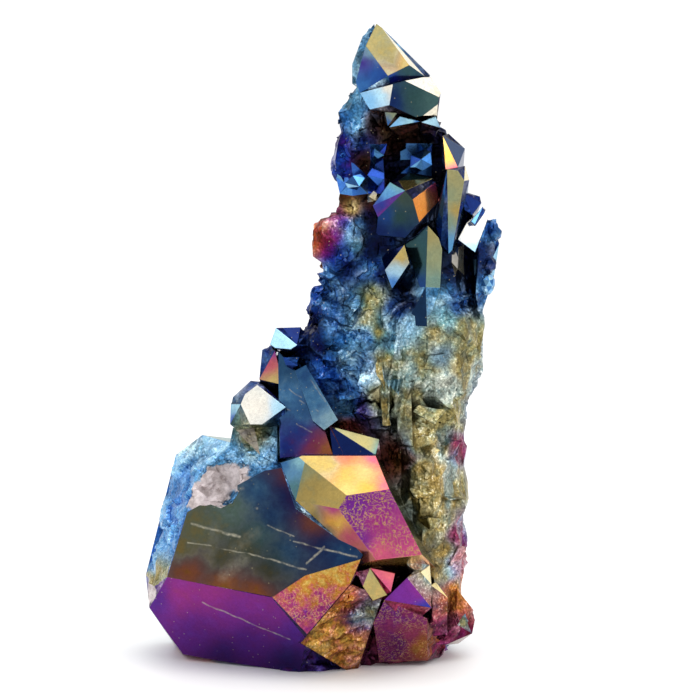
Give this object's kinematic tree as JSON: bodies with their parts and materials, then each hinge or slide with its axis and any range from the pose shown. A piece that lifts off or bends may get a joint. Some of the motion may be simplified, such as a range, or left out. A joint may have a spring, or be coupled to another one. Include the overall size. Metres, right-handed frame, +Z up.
{
  "type": "aura quartz cluster",
  "caption": "Tall cluster of metal-coated quartz crystals grown together on a rough stone, cut flat underneath so that it stands as an ornament.",
  "frame": {"origin": "centre of the bounding box at the level of the flat base", "axes": "+Z up along the tall side of the cluster, -Y towards the front that the picture shows, +X to the right of that view"},
  "size_m": [0.0502, 0.0362, 0.0892],
  "materials": {
    "coated_quartz": "thin titanium film on quartz: iridescent blue, violet, magenta, gold and green, glossy on the crystal faces and satin on the rough stone"
  },
  "bodies": {
    "root": {"quartz_cluster": "coated_quartz"}
  },
  "joints": []
}
